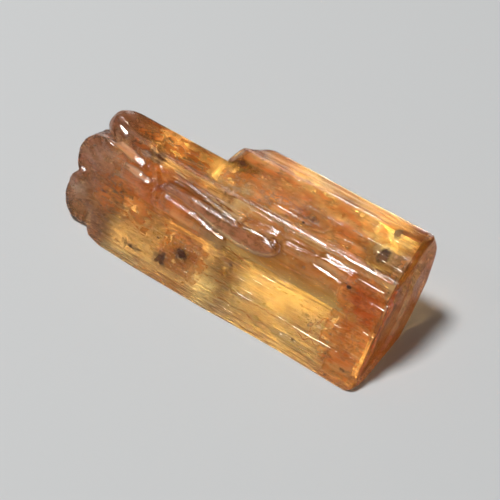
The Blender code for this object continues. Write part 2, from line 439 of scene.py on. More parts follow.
# %% The crumple and the hollows by the etched end
CRUMPLE = [  # path, width, height
    ([(-22.0, 8.2), (-21.5, 7.5), (-21.25, 6.7), (-21.15, 6.1)], 0.24, 0.26),
    ([(-22.4, 7.7), (-21.95, 7.1), (-21.6, 6.5)], 0.16, -0.2),
    ([(-20.9, 7.6), (-20.75, 6.9), (-20.8, 6.3)], 0.16, -0.16),
    ([(-21.3, 5.72), (-20.95, 5.5)], 0.12, 0.09),
]
LOW_LIP = [(-25.1, 7.05), (-24.2, 7.1), (-23.0, 6.95), (-22.3, 6.7), (-21.8, 6.75)]
HIGH_LIP = [(-27.6, 8.0), (-26.6, 7.8), (-25.4, 8.0), (-24.2, 8.05), (-23.2, 7.7), (-22.5, 7.9)]
SHELF_UP, SHELF_OUT, SHELF_SLOPE = 6.65, 4.9, 0.5

relief += sum(line_of(*row) for row in CRUMPLE)
relief += ledge(LOW_LIP, 0.24, 0.55, 1.4) + ledge(HIGH_LIP, 0.2, 0.4, 1.2)
shelf = SHELF_UP + SHELF_SLOPE * (out - SHELF_OUT)
shelf_width = T + 0.35 * between(-27.8, -22.4, 1.2)
on_shelf = between(-27.9, -22.2, 0.9) * (1.0 - soft_step(shelf_width, shelf_width + 0.25, around)) * seen_side
sink = np.maximum(up - shelf, 0.0) * on_shelf
print("relief up to", relief.max().round(2), "mm, the shelf sinks", sink.max().round(2), "mm")

# %% [markdown]
# ## Striations
# Topaz is striated along its length. Each striation runs nearly straight, so the height is noise that
# changes quickly round the section and slowly along the stone.

# %% Striations
STRIATION = [  # height, times per mm round the section and along the stone, start, seed
    (0.022, 2.1, 0.07, 3.0, 11), (0.012, 4.7, 0.11, 0.0, 12), (0.006, 9.5, 0.2, 0.0, 13)]
WEAR_WIDTH, WEAR_DEPTH = 0.22, 0.006

striation = sum(high * noise(around * fine + start, along * slow, seed)
                for high, fine, slow, start, seed in STRIATION)
ridge_wear = bell(around - T, WEAR_WIDTH) * seen_side * in_body
relief -= WEAR_DEPTH * ridge_wear * (1.0 + rough_noise(along * 0.9, 0.0 * along, 15, 2))
broad_wave = 0.03 * noise(around * 0.45, along * 0.16, 14)
behind = (column >= slope_at) * (up > 0.4)
print("striations up to", striation.max().round(3), "mm")

# %% [markdown]
# ## Where the lines are strong
# The front face has the clearest lines. On the top, the tongue and the etched end they are nearly worn
# away, so one layer of numbers scales them, here and in the shader's bump. A few heavier ribs run along
# the front face and break off where noise says so.

# %% Ribs and the strength of the lines
RIBS = [  # height up the face, how proud
    (0.75, 0.02), (1.2, 0.025), (1.9, 0.02), (2.35, 0.045), (2.62, -0.02), (3.1, 0.02), (4.05, 0.015),
    (5.0, 0.02)]
RIB_WIDTH = 0.09

lined = 1.0 - 0.65 * on_top * soft_step(T, T + 0.4, around) - 0.85 * patch(TONGUE, 0.2)
lined *= 1.0 - 0.7 * (1.0 - soft_step(-26.6, -24.0, along))
for height, proud in RIBS:
    seed = int(100 * height)
    wander = height + 0.06 * along_noise(0.25, seed)
    broken = soft_step(-0.2, 0.3, along_noise(0.45, seed + 1))
    relief += proud * bell(around - wander, RIB_WIDTH) * broken * on_front * in_body
lined = np.where(on_slope, 0.5, lined)
relief += striation * lined * (0.8 + 1.0 * behind) + broad_wave
print("relief from", relief.min().round(2), "to", relief.max().round(2), "mm")

# %% [markdown]
# ## The etched end
# Etching leaves a cobbled end: a few large rounded lobes with creases where two meet. Spheres joined by
# booleans would need a remesh to blend. Here each lobe is an ellipsoid, and every grid point slides along
# its own ray from a centre inside the stone to the farthest lobe. A smooth maximum rounds the creases.

# %% The etched end
HEART = np.array([-24.8, 4.3, 3.6])
HEART_TO_FRONT = 1.397
LOBES = {"foot": ((-27.5, 2.35, 1.6), (2.5, 2.3, 2.35)), "brow": ((-27.35, 4.3, 4.35), (2.55, 2.3, 2.2)),
         "crown": ((-26.65, 6.6, 6.5), (1.75, 1.45, 1.45)), "heel": ((-26.9, 6.9, 2.3), (2.4, 1.8, 1.9)),
         "nape": ((-26.3, 7.3, 4.8), (2.2, 1.4, 1.8)), "belly": ((-27.2, 4.8, 2.2), (2.55, 1.6, 1.7))}
BLEND = 6.0
HOLLOWS = [  # place, width, share of the ray that is taken away
    ((-28.3, 5.4, 7.2), 0.7, 0.07), ((-29.5, 3.2, 4.1), 0.45, 0.07), ((-29.7, 4.4, 3.5), 0.6, 0.07),
    ((-28.9, 7.4, 5.4), 0.9, 0.12), ((-29.2, 6.2, 3.2), 0.6, 0.08)]
print("lobes", list(LOBES), "hollows", len(HOLLOWS))

# %% Tools for lobes


def core_reach(points, size):
    """The ray's length in the dome itself, whose length drops towards the top and the foot of the front."""
    share = 0.9 - 0.42 * soft_step(5.0, 6.9, points[..., 2])
    share -= 0.3 * (1.0 - soft_step(0.0, 1.6, points[..., 2])) * (1.0 - soft_step(1.0, 3.5, points[..., 1]))
    kept = DOME_START + share * (points[..., 0] - DOME_START)
    return size * np.where(points[..., 0] < DOME_START, (kept - HEART[0]) / (points[..., 0] - HEART[0]), 1.0)


def lobed(points):
    """Points moved along their rays from the heart to log(sum(exp(k r))) / k, r each part's distance.

    A ray leaves an ellipsoid where |heart + r * way - centre| in its own radii is 1: the larger root for r.
    No lobe reaches past the plane of the front face, nor a fifth past the dome.
    """
    ray = points - HEART
    size = np.linalg.norm(ray, axis=-1)
    way = ray / size[..., None]
    to_front = HEART_TO_FRONT / np.maximum(way @ FACE_NORMAL, 1e-3)
    limit = np.maximum(1.03 * size, np.minimum(to_front, 1.2 * size))
    reaches = [core_reach(points, size)]
    for centre, radii in LOBES.values():
        start, run = (HEART - centre) / np.array(radii), way / np.array(radii)
        a, b, c = (run**2).sum(-1), (run * start).sum(-1), (start**2).sum() - 1.0
        inner = b**2 - a * c
        leaves = (-b + np.sqrt(np.maximum(inner, 0.0))) / a
        reaches.append(np.where(inner > 0.0, np.minimum(leaves, limit), 0.5 * size))
    top = np.max(reaches, axis=0)
    far = top + np.log(sum(np.exp(BLEND * (r - top)) for r in reaches)) / BLEND
    for place, width, depth in HOLLOWS:
        far *= 1.0 - depth * np.exp(-(((points - place) ** 2).sum(-1) / width**2))
    return HEART + way * far[..., None]


# %% The lobes in place
LUMP_HEIGHT = 0.12

etched = 1.0 - soft_step(-27.2, -26.0, along)
lumps = LUMP_HEIGHT * rough_noise(out * 1.1 + up * 0.3, up * 1.1 + along * 0.8, 21, 3)
relief += etched * lumps
lobe_shift = etched[..., None] * (lobed(grid) - grid)
print("lobes move the dome by", np.linalg.norm(lobe_shift, axis=-1).max().round(2), "mm")

# %% [markdown]
# ## The cleaved end
# Topaz splits square to its length. The break is nearly flat, with a few shallow steps where it jumped
# from one plane to the next, and it is a little chipped round the rim.

# %% The cleaved end
END_STEPS = [  # height, width, share of out and of up, start, share of the wander
    (0.26, 0.25, -1.0, 0.8, 4.1, 1.0), (0.2, 0.2, 0.0, 1.0, -5.6, 1.4), (0.18, 0.3, 0.6, 0.2, -5.4, 1.0)]
RIPPLE, WANDER = 0.09, 0.7
CHIP_START, CHIP_HEIGHT = 0.35, 0.12

on_end = along > -1e-6
inward = 1.0 - station_scale[:, None] + 0.0 * along
wander = WANDER * noise(out * 0.5, up * 0.5, 31)
steps = sum(high * soft_step(0.0, width, out * a + up * b + start + share * wander)
            for high, width, a, b, start, share in END_STEPS)
ripple = RIPPLE * rough_noise(out * 1.1, up * 0.6, 32)
end_depth = np.where(on_end, (steps + np.abs(ripple)) * soft_step(0.02, 0.14, inward), 0.0)
near_end = soft_step(-1.0, -0.1, along) * ~on_end
relief -= near_end * np.maximum(noise(around * 1.3, along * 1.1, 33) - CHIP_START, 0.0) * CHIP_HEIGHT
print("the cleaved end is up to", end_depth.max().round(2), "mm deep")

# %% [markdown]
# ## Worn corners
# Where the cleaved end meets the long faces, the edge is worn round. A bevel would need an edge to follow.
# On the grid it is enough to pull in every point that lies outside a circle between the two faces.

# %% Tools for worn corners


def corner_cut(points, place, way_in, radius):
    """Rounds the corner between the end face and a side: beyond a circle of the radius, points move onto it.

    The circle lies in the plane of the stone's length and the way in. Its centre is one radius from both.
    """
    u = radius + points[..., 0]
    v = radius - ((points[..., 1:] - place) @ way_in)
    reach = np.hypot(u, v)
    over = np.where((u > 0.0) & (v > 0.0), np.maximum(reach - radius, 0.0), 0.0) / np.maximum(reach, 1e-9)
    shift = np.stack([-over * u, over * v * way_in[0], over * v * way_in[1]], axis=-1)
    return points + shift


# %% The finished surface
CLEAR = 0.004
SEAL = 0.06
worn = 0.32 + 0.16 * noise(around * 0.8, 0.0 * around, 44)
CORNERS = [  # a point of the edge, the way in from the side, the radius
    ([0.0, 0.0], UP_FACE, 1.1),
    ([10.3, 8.3], [-0.9, -0.436], 0.7),
    ([0.0, 0.0], [0.813, -0.583], worn),
    (RIDGE, [0.327, -0.945], 0.7 * worn),
]
surface = grid + facing * relief[..., None] * ~on_end[..., None] + lobe_shift
surface[..., 2] -= sink
surface[..., 0] -= end_depth
for place, way_in, radius in CORNERS:
    surface = corner_cut(surface, np.array(place), np.array(way_in), radius)
resting = (up < 0.02) & (station_scale[:, None] > 0.5) & (along < -1.2)
surface[..., 2] = np.where(resting, np.minimum(surface[..., 2], up).clip(0.0), surface[..., 2])
surface = np.clip(surface, CAD_LOW + CLEAR, CAD_HIGH - CLEAR)
surface[..., 2] = np.maximum(surface[..., 2], 0.0)
outward = normals(surface)
outward = np.where((outward * facing).sum(axis=-1, keepdims=True) > 0.3, outward, facing)
SEALED_LOW, SEALED_HIGH = CAD_LOW + SEAL, CAD_HIGH - SEAL
print("surface", surface.reshape(-1, 3).min(axis=0).round(3), surface.reshape(-1, 3).max(axis=0).round(3))

# %% [markdown]
# ## Where the skin is stained and frosted
# The skin isn't the same all over. It is mauve and matt at the etched end, brown in the cracks and the
# channel, peach along the top and rough on the back, where the stone broke from its bed. Each of these is
# a number from 0 to 1 at every grid point: the strongest of a few layers. The shader reads them as
# attributes, so that the stains stay in place when the stone is turned.

# %% Peach and rust


def most(*layers):
    """The strongest of several layers at each grid point."""
    return np.maximum.reduce(np.broadcast_arrays(*layers))


def blotches(fine_along, fine_around, seed):
    """Rough noise from 0 to 1 over the skin."""
    return 0.5 + 0.5 * rough_noise(along * fine_along, around * fine_around, seed)


cloud = blotches(0.35, 0.8, 51)
edge_of_gold = 5.3 + 0.35 * along_noise(1.6, 52)
above_gold = on_front * soft_step(edge_of_gold, edge_of_gold + 0.9, around)
left_top = on_top * (1.0 - soft_step(-18.4, -17.2, along))
left_part = on_front * (1.0 - soft_step(-16.6, -13.8, along + 0.7 * noise(around * 0.8, along * 0.6, 57)))
foot_band = between(-24.6, -19.9, 0.3) * (1.0 - soft_step(0.7, 1.0, around + 0.15 * along_noise(1.5, 58)))
right_part = soft_step(-3.9, -2.2, along + 0.5 * noise(around * 0.9, along, 53))
peach = most(above_gold + 0.65 * on_top + on_back * (0.12 + 0.7 * soft_step(4.0, 6.8, up)),
             0.4 * on_slope, 0.9 * left_top, left_part * (0.75 - 0.7 * foot_band), 0.6 * right_part, on_end)

by_cleavage = soft_step(-4.0, -3.0, along + 0.8 * noise(around * 0.7, along * 0.5, 53)) * ~on_back * ~on_under
vein = soft_step(0.46, 0.6, blotches(0.8, 0.9, 55))
top_patch = on_top * soft_step(0.5, 0.75, blotches(0.25, 0.9, 56))
rust = most(0.9 * by_cleavage * vein, 0.35 * top_patch, (0.65 + 0.3 * cloud) * on_slope + 0.55 * left_top,
            0.35 * on_back * soft_step(5.0, 7.5, up), 0.5 * on_end * soft_step(0.35, 0.75, cloud))
print("peach covers", peach.mean().round(2), "and rust", rust.mean().round(2), "of the skin")

# %% Mauve
SCOOPS = [[(-27.6, 8.5), (-26.4, 8.9), (-24.6, 8.8), (-23.0, 8.2), (-23.2, 7.7), (-25.0, 7.7), (-27.0, 7.9)],
          [(-25.0, 7.5), (-23.6, 7.6), (-21.9, 7.2), (-22.0, 6.7), (-23.4, 6.6), (-24.8, 6.9)]]
scoops = most(*(patch(outline, 0.3) for outline in SCOOPS))
lean_out = np.where(seen_side, 0.5 * np.clip(around - 5.2, -4.0, 4.0), 0.5)
mauve = 1.0 - soft_step(-28.6, -24.6, along - lean_out + 0.9 * noise(around * 0.8, along * 0.5, 54))
mauve *= 0.75 + 0.25 * noise(around * 3.1, along * 0.25, 59)
# Little mauve in the scoops, so that their pale sheet shows: frost, and a painted sky reflection in the
# hollows.
mauve = most(mauve * (1.0 - 0.85 * scoops), 0.7 * patch(TONGUE, 0.2))
print("mauve covers", mauve.mean().round(2), "of the skin")

# %% Brown
DARK_FOOT = [(-20.1, -0.6), (-20.1, 3.0), (-18.5, 4.6), (-16.1, 4.4), (-15.4, 2.5), (-16.2, -0.6)]
PALE_LEDGE = [(-9.6, 7.2), (-9.5, 7.85), (-6.5, 7.95), (-3.8, 7.9), (-3.9, 7.3), (-6.5, 7.4)]
SMALL_SPOT = [(-15.7, 4.1), (-15.2, 4.6), (-13.9, 4.7), (-13.6, 4.2), (-14.6, 3.8)]
CREST_SPOT = [(-3.0, 12.9), (-2.8, 13.4), (-2.0, 13.3), (-1.8, 12.5), (-2.5, 12.2)]
RIM_WIDTH, SHOULDER_REACH = 0.17, 0.4

rim = bell(inside(TONGUE, along, around), RIM_WIDTH)
shoulder_at = face_values(SHOULDER)[None, :] + 0.5 * face_values(SHOULDER_WIDTH)[None, :]
on_shoulder = bell(along - shoulder_at, SHOULDER_REACH) * (column < back_at + 12)
on_shoulder *= soft_step(T + 1.6, T + 2.4, around)
below_step = on_front * bell(along + 16.6, 1.1) * (1.0 - soft_step(4.6, 5.6, around))
brown = most(0.5 * patch(DARK_FOOT, 1.2) * (0.3 + 0.9 * cloud), rim,
             0.5 * ridge_wear * (0.6 + 0.6 * along_noise(0.8, 17)),
             0.95 * patch(CHANNEL, 0.12), line_of(CRACK, 0.12, 0.95), line_of(NOTCH, 0.22, 0.9),
             0.45 * patch(PALE_LEDGE, 0.25), 0.6 * patch(SMALL_SPOT, 0.3), 0.5 * patch(CREST_SPOT, 0.4),
             0.6 * on_shoulder, 0.2 * below_step,
             (0.4 + 0.45 * soft_step(-11.0, -8.0, along)) * on_slope + 0.3 * left_top * cloud)
print("brown covers", brown.mean().round(2), "of the skin")

# %% Frost
back_frost = 0.05 + 0.2 * soft_step(0.1, 0.7, noise(around * 1.3, along * 0.2, 61))
etched_frost = 1.0 - soft_step(-29.0, -26.6, along + 0.5 * noise(around * 0.8, along * 0.5, 60))
top_frost = on_top * soft_step(-17.4, -17.0, along) * soft_step(0.4, 0.75, cloud)
frost = most(back_frost * on_back + 0.08 * on_slope + 0.04 * on_under + 0.05 * on_top, 0.2 * top_frost,
             0.5 * etched_frost, 0.2 * on_end, 0.16 * soft_step(5.6, 6.6, around) * on_front,
             0.5 * on_shoulder, 0.25 * ridge_wear)
ZONES = {"peach": peach, "mauve": mauve, "brown": brown, "rust": rust, "frost": frost, "lined": lined}
print("frost covers", frost.mean().round(2), "of the skin")

# %% [markdown]
# ## The stone as a mesh
# The grid becomes one closed skin: quads between neighbours, round the section without a seam, and a single
# point at each end, so that there is no hole.

# %% The mesh


def new_mesh(name, points, faces):
    """A smooth mesh in the scene's metres."""
    mesh = bpy.data.meshes.new(name)
    mesh.from_pydata(to_scene(points), [], faces)
    mesh.polygons.foreach_set("use_smooth", np.ones(len(mesh.polygons), bool))
    mesh.update()
    return mesh


def closed_skin(name, points):
    """A mesh from a grid of points, closed round the second direction. The first and last rows are poles."""
    rows, columns = points.shape[:2]
    vertices = np.vstack([points[0].mean(axis=0), points[1:-1].reshape(-1, 3), points[-1].mean(axis=0)])
    first = 1 + np.arange(rows - 3)[:, None] * columns
    at = np.arange(columns)
    after = (at + 1) % columns
    quads = np.stack([first + at, first + columns + at, first + columns + after, first + after], axis=-1)
    last, last_row = len(vertices) - 1, 1 + (rows - 3) * columns
    first_fan = np.stack([0 * at, 1 + at, 1 + after], axis=-1)
    last_fan = np.stack([0 * at + last, last_row + after, last_row + at], axis=-1)
    return new_mesh(name, vertices, [*quads.reshape(-1, 4).tolist(), *first_fan.tolist(), *last_fan.tolist()])


def store(mesh, name, values):
    """Writes a number for each vertex as a float attribute."""
    mesh.attributes.new(name, "FLOAT", "POINT").data.foreach_set("value", values.astype(np.float32))


def paint(mesh, zones):
    """Stores each zone's numbers in the skin's order: the first pole, the rows between, the last pole."""
    for name, amount in zones.items():
        store(mesh, name, np.concatenate([[amount[0].mean()], amount[1:-1].ravel(), [amount[-1].mean()]]))

# %% Pieces of the stone


def put(name, data):
    """Puts a mesh, a lamp or a camera into the scene."""
    made = bpy.data.objects.new(name, data)
    bpy.context.scene.collection.objects.link(made)
    return made


stone_only = bpy.data.collections.new("stone_only")


def add_piece(name, mesh, material, replaces=None):
    """Puts a mesh into the scene as a piece that rides on the stone's one body."""
    piece = put(name, mesh)
    stone_only.objects.link(piece)
    mesh.materials.append(material)
    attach(piece, "root")
    if replaces:
        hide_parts(replaces)
    return piece


# %% [markdown]
# ## Writing shaders as expressions
# A material is a small calculation for each point of the surface. Wiring dozens of Math nodes by hand is
# hard to read, so one class wraps a socket and turns + and * into nodes. Colours go through Mix nodes,
# because a Math node would make them grey.

# %% Sockets that calculate


class Value:
    """A number or colour that comes out of a node. Sums and products of values add Math nodes."""

    def __init__(self, tree, socket):
        self.tree, self.socket = tree, socket

    def node(self, kind, out=0, settings=(), **inputs):
        """Adds a node: its settings first, then a number, colour or Value for each named socket."""
        made = self.tree.nodes.new(kind)
        for key, value in dict(settings).items():
            setattr(made, key, value)
        for key, value in inputs.items():
            place = int(key[1:]) if key[0] == "i" and key[1:].isdigit() else key.replace("_", " ")
            if isinstance(value, Value):
                self.tree.links.new(value.socket, made.inputs[place])
            else:
                made.inputs[place].default_value = value
        return Value(self.tree, made.outputs[out])

    def math(self, operation, a, b):
        return self.node("ShaderNodeMath", settings={"operation": operation}, i0=a, i1=b)

    def __add__(self, other):
        return self.math("ADD", self, other)

    def __mul__(self, other):
        return self.math("MULTIPLY", self, other)

    __radd__, __rmul__ = __add__, __mul__

    def step(self, low, high):
        """0 below low and 1 above high, with a soft step between."""
        return self.node("ShaderNodeMapRange", settings={"interpolation_type": "SMOOTHSTEP"},
                         i0=self, i1=low, i2=high, i3=0.0, i4=1.0)

    def mix(self, first, second):
        """The first colour where this value is 0, the second where it is 1."""
        return self.node("ShaderNodeMix", out=2, settings={"data_type": "RGBA", "clamp_factor": True},
                         i0=self, i6=first, i7=second)


# %% [markdown]
# ## The stone's material
# The body colour is in the stone, not on it: a volume absorbs blue first and then green, so long paths turn
# golden. The skin adds thin stains, which tint what passes through it, a frosting where it is etched, and
# fine striations as bump. Noise in Object coordinates is squeezed along the length to draw them.

# %% Tools for materials


def new_shader(name, **numbers):
    """A material with a Principled shader and the given numbers on its sockets."""
    made = bpy.data.materials.new(name)
    made.use_nodes = True
    shader = made.node_tree.nodes["Principled BSDF"]
    for key, value in numbers.items():
        shader.inputs[key.replace("_", " ")].default_value = value
    place = Value(made.node_tree, made.node_tree.nodes.new("ShaderNodeTexCoord").outputs["Object"])
    return made, shader, place


def stored(place, name):
    """The float attribute of that name."""
    return place.node("ShaderNodeAttribute", out="Fac", settings={"attribute_name": name})


def connect(shader, **values):
    """Links values to the shader's sockets."""
    for key, value in values.items():
        value.tree.links.new(value.socket, shader.inputs[key.replace("_", " ")])


def texture(place, scale, detail, seed, rough=0.55):
    """Noise from 0 to 1, with its own repeat per metre in each direction."""
    moved = place.node("ShaderNodeVectorMath", settings={"operation": "MULTIPLY_ADD"},
                       i0=place, i1=scale, i2=(seed,) * 3)
    return moved.node("ShaderNodeTexNoise", out="Fac", Vector=moved, Scale=1.0, Detail=detail,
                      Roughness=rough)


# %% The colours of the skin
TOPAZ_IOR = 1.62

topaz, shader, place = new_shader("topaz", IOR=TOPAZ_IOR, Transmission_Weight=1.0)
zone = {name: stored(place, name) for name in ZONES}
streaks = texture(place, (70.0, 1500.0, 1500.0), 4.0, 1.0)
fine_lines = texture(place, (150.0, 5200.0, 5200.0), 2.0, 2.0)
hair_lines = texture(place, (110.0, 10000.0, 10000.0), 1.0, 6.0)
grain = texture(place, (2600.0, 2600.0, 2600.0), 4.0, 3.0, 0.65)
clouds = texture(place, (260.0, 520.0, 520.0), 4.0, 4.0)
STAINS = [  # zone, what breaks it up, colour
    ("peach", streaks.step(0.25, 0.75) * 0.5 + 0.55, (0.95, 0.46, 0.17, 1.0)),
    ("rust", clouds.step(0.35, 0.65), (0.85, 0.33, 0.08, 1.0)),
    ("mauve", grain.step(0.3, 0.7) * 0.4 + 0.6, (0.6, 0.36, 0.28, 1.0)),
    ("brown", streaks.step(0.3, 0.6) * 0.5 + 0.5, (0.2, 0.06, 0.025, 1.0))]
colour = fine_lines.step(0.35, 0.7).mix((1.0, 0.97, 0.86, 1.0), (0.96, 0.84, 0.56, 1.0))
for name, broken_up, stain in STAINS:
    colour = (zone[name] * broken_up).mix(colour, stain)

print("stains", [name for name, _, _ in STAINS])

# %% The shine of the skin and the gold inside
LINE_HEIGHT = 0.00014
GOLD, GOLD_PER_METRE = (0.96, 0.79, 0.06, 1.0), 105.0
roughness = zone["frost"] * (grain.step(0.3, 0.75) * 0.5 + 0.35) + fine_lines.step(0.5, 0.8) * 0.05 + 0.02
lines = streaks * 0.6 + fine_lines * 0.45 + hair_lines * 0.2
height = lines * zone["lined"] + grain * (zone["frost"] * 0.6 + 0.03)
bump = height.node("ShaderNodeBump", Strength=0.9, Distance=LINE_HEIGHT, Height=height)
connect(shader, Base_Color=colour, Roughness=roughness, Normal=bump)
absorb = topaz.node_tree.nodes.new("ShaderNodeVolumeAbsorption")
absorb.inputs["Color"].default_value = GOLD
absorb.inputs["Density"].default_value = GOLD_PER_METRE
topaz.node_tree.links.new(absorb.outputs["Volume"], topaz.node_tree.nodes["Material Output"].inputs["Volume"])

skin = closed_skin("crystal", surface)
paint(skin, ZONES)
stone = add_piece("crystal", skin, topaz, replaces="topaz_crystal")
print("faces", len(stone.data.polygons))

# %% [markdown]
# ## Veils and smudges
# A clear stone shows what is sealed in it. Healed cracks are veils: thin wavy sheets of tiny droplets. Each
# is a sheet a little under the skin, whose material is see-through except where its noise says droplets.
# Smudges are small thick veils. Frosting is a pale veil close to the skin. Some sheets are painted light:
# the gold veils paint the golden glow of light reflected inside the stone, the pale sheets on the etched end
# and in the scoops paint highlights and a sky reflection as well as frost, and one pale patch paints a
# highlight.

# %% Places under the skin
RISE = np.array([0.945, 0.327])
IN_FROM_FRONT, IN_FROM_TOP = np.array([0.813, -0.583]), np.array([0.326, -0.946])
MIDDLE_COLUMN = 80


def under_skin(along, around, depth):
    """A point at a depth below a place on the front face or, past the ridge, on the top face."""
    s, t = np.minimum(around, T), np.maximum(around - T, 0.0)
    place = s[..., None] * UP_FACE + t[..., None] * RISE
    turn = soft_step(T - 0.6, T + 0.6, around)[..., None]
    way_in = (1.0 - turn) * IN_FROM_FRONT + turn * IN_FROM_TOP
    points = np.concatenate([along[..., None], place + depth[..., None] * way_in], axis=-1)
    return np.clip(points, SEALED_LOW, SEALED_HIGH)


def open_sheet(name, points, cover):
    """A mesh from a grid of points, with the cover at each point as a float attribute."""
    rows, columns = points.shape[:2]
    first = (np.arange(rows - 1)[:, None] * columns + np.arange(columns - 1)).ravel()
    quads = np.stack([first, first + columns, first + columns + 1, first + 1], axis=-1)
    mesh = new_mesh(name, points.reshape(-1, 3), quads.tolist())
    store(mesh, "cover", cover.ravel())
    return mesh

# %% Tools for veils
LEAST_DEPTH = 0.12
VEIL_POINTS = 72, 36


def veil(name, along_span, around_span, depth, wave, strength, seed, look, fade=0.25, roundness=6.0):
    """A wavy sheet: depth + wave * noise below the skin. Its cover fades to nothing at its border.

    The border is a rounded box, |x|^p + |y|^p = 1 with the roundness as p: 2 gives an ellipse.
    """
    u, v = np.meshgrid(*(np.linspace(0, 1, points) for points in VEIL_POINTS), indexing="ij")
    x = along_span[0] + u * (along_span[1] - along_span[0])
    a = around_span[0] + v * (around_span[1] - around_span[0])
    deep = np.maximum(depth + wave * rough_noise(x * 0.5, a * 0.6, seed, 3), LEAST_DEPTH)
    spread = (np.abs(2 * u - 1) ** roundness + np.abs(2 * v - 1) ** roundness) ** (1.0 / roundness)
    border = (1.0 - spread) / (2 * fade) + 0.3 * noise(u * 9.0, v * 7.0, seed + 5)
    cover = strength * soft_step(0.0, 1.0, border)
    return add_piece(name, open_sheet(name, under_skin(x, a, deep), cover), looks[look])


def inner_sheet(name, along_span, columns, depth, cover, look):
    """A sheet that follows the finished surface itself, in a block of its grid: surface - depth * normal."""
    middle = surface[:, MIDDLE_COLUMN, 0]
    rows = np.nonzero((middle > along_span[0]) & (middle < along_span[1]) & (station_scale > 0.3))[0][::2]
    i, j = np.ix_(rows, columns)
    points = np.clip(surface[i, j] - depth * outward[i, j], SEALED_LOW, SEALED_HIGH)
    return add_piece(name, open_sheet(name, points, cover[i, j]), looks[look])


# %% Veil materials
LOOKS = {  # light, dark, drops per metre along and across the stone, where they start, where they are dense
    "peach_veil": ((1.0, 0.66, 0.28), (0.93, 0.4, 0.1), (1100.0, 3000.0), 0.26, 0.5),
    "rust_veil": ((1.0, 0.52, 0.17), (0.86, 0.32, 0.08), (900.0, 2400.0), 0.34, 0.58),
    "mauve_veil": ((0.92, 0.7, 0.6), (0.64, 0.4, 0.31), (1400.0, 2000.0), 0.26, 0.58),
    # frost_and_sky_sheen: pale lilac white, frost together with a painted reflection of the sky
    "frost_and_sky_sheen": ((1.0, 0.93, 0.94), (0.86, 0.68, 0.66), (900.0, 1600.0), 0.25, 0.5),
    "amber_veil": ((1.0, 0.62, 0.2), (0.82, 0.36, 0.08), (220.0, 4200.0), 0.26, 0.52),
    # gold_veil: a bright gold sheet that paints the golden light reflected inside the stone
    "gold_veil": ((1.0, 0.93, 0.5), (1.0, 0.8, 0.32), (260.0, 4600.0), 0.52, 0.66),
    "brown_veil": ((1.0, 0.62, 0.25), (0.66, 0.32, 0.1), (1300.0, 2600.0), 0.36, 0.58),
    "smoke": ((0.2, 0.09, 0.04), (0.08, 0.035, 0.02), (2600.0, 2600.0), 0.22, 0.5),
    # frost_and_highlight: a pale sheet for frost, and also for painted highlights on the etched end and near
    # the cleaved end
    "frost_and_highlight": ((1.0, 0.86, 0.74), (0.95, 0.66, 0.45), (1800.0, 3000.0), 0.45, 0.62)}


def veil_material(name, light, dark, fine, low, high):
    """Droplets: opaque where streaky noise times the sheet's cover is high, clear elsewhere."""
    made, shader, place = new_shader(name, Roughness=0.55)
    drops = texture(place, (fine[0], fine[1], fine[1]), 5.0, 7.0, 0.65)
    tone = texture(place, (500.0, 1700.0, 1700.0), 4.0, 8.0).step(0.35, 0.65)
    connect(shader, Base_Color=tone.mix((*light, 1.0), (*dark, 1.0)),
            Alpha=drops.step(low, high) * stored(place, "cover"))
    return made


looks = {name: veil_material(name, *numbers) for name, numbers in LOOKS.items()}
print("veil materials", len(looks))

# %% Veils that follow the skin
SMUDGES = [  # middle along and round the stone, width, height
    (-2.4, 12.7, 1.4, 1.1), (-2.4, 10.7, 1.3, 1.7), (-8.5, 10.5, 1.2, 0.7), (-16.0, 11.7, 1.3, 0.6),
    (-19.0, 1.4, 1.6, 1.6), (-17.4, 2.6, 1.6, 1.2), (-22.2, 8.8, 1.6, 0.5), (-13.0, 4.0, 0.5, 0.5),
    (-6.0, 1.3, 0.5, 0.4)]
over_smudge = sum(bell(along - x, wide) * bell(around - a, high) for x, a, wide, high in SMUDGES)
streaky = 0.55 + 0.45 * noise(around * 2.2, along * 0.3, 75)
fine_grain = np.clip(0.75 + 0.4 * rough_noise(along * 0.9, around * 1.6, 76) - 1.6 * over_smudge, 0.0, 1.0)
slope_cover = 0.25 + 0.4 * streaky + 0.28 * soft_step(-11.0, -8.0, along)

every_other = np.arange(0, grid.shape[1] + 1, 2) % grid.shape[1]
middle_around = around[MIDDLE_STATION]
tongue_columns = np.nonzero((middle_around > 5.6) & (middle_around < 8.0))[0]
top_columns = np.arange(top_at - 3, slope_at + 2)
slope_columns = np.arange(slope_at - 5, back_at + 6)
SHEETS = [  # name, span along, columns, depth, cover, look
    ("etched", (-29.7, -23.4), every_other, 0.2, np.clip(0.85 * mauve, 0.0, 1.0), "mauve_veil"),
    ("tongue", (-21.4, -9.6), tongue_columns, 0.14, 0.8 * patch(TONGUE, 0.3), "mauve_veil"),
    ("top", (-17.0, -0.5), top_columns, 0.16, fine_grain * between(-17.3, -0.4, 0.6), "peach_veil"),
    ("crown", (-26.0, -17.3), top_columns, 0.16, 0.85 * fine_grain * between(-26.0, -17.0, 1.6), "rust_veil"),
    ("slope", (-16.6, -0.5), slope_columns, 0.14, slope_cover * between(-16.8, -0.4, 0.5), "amber_veil")]
for name, *numbers in SHEETS:
    inner_sheet(f"veil_{name}", *numbers)
print("sheets that follow the skin", len(SHEETS))

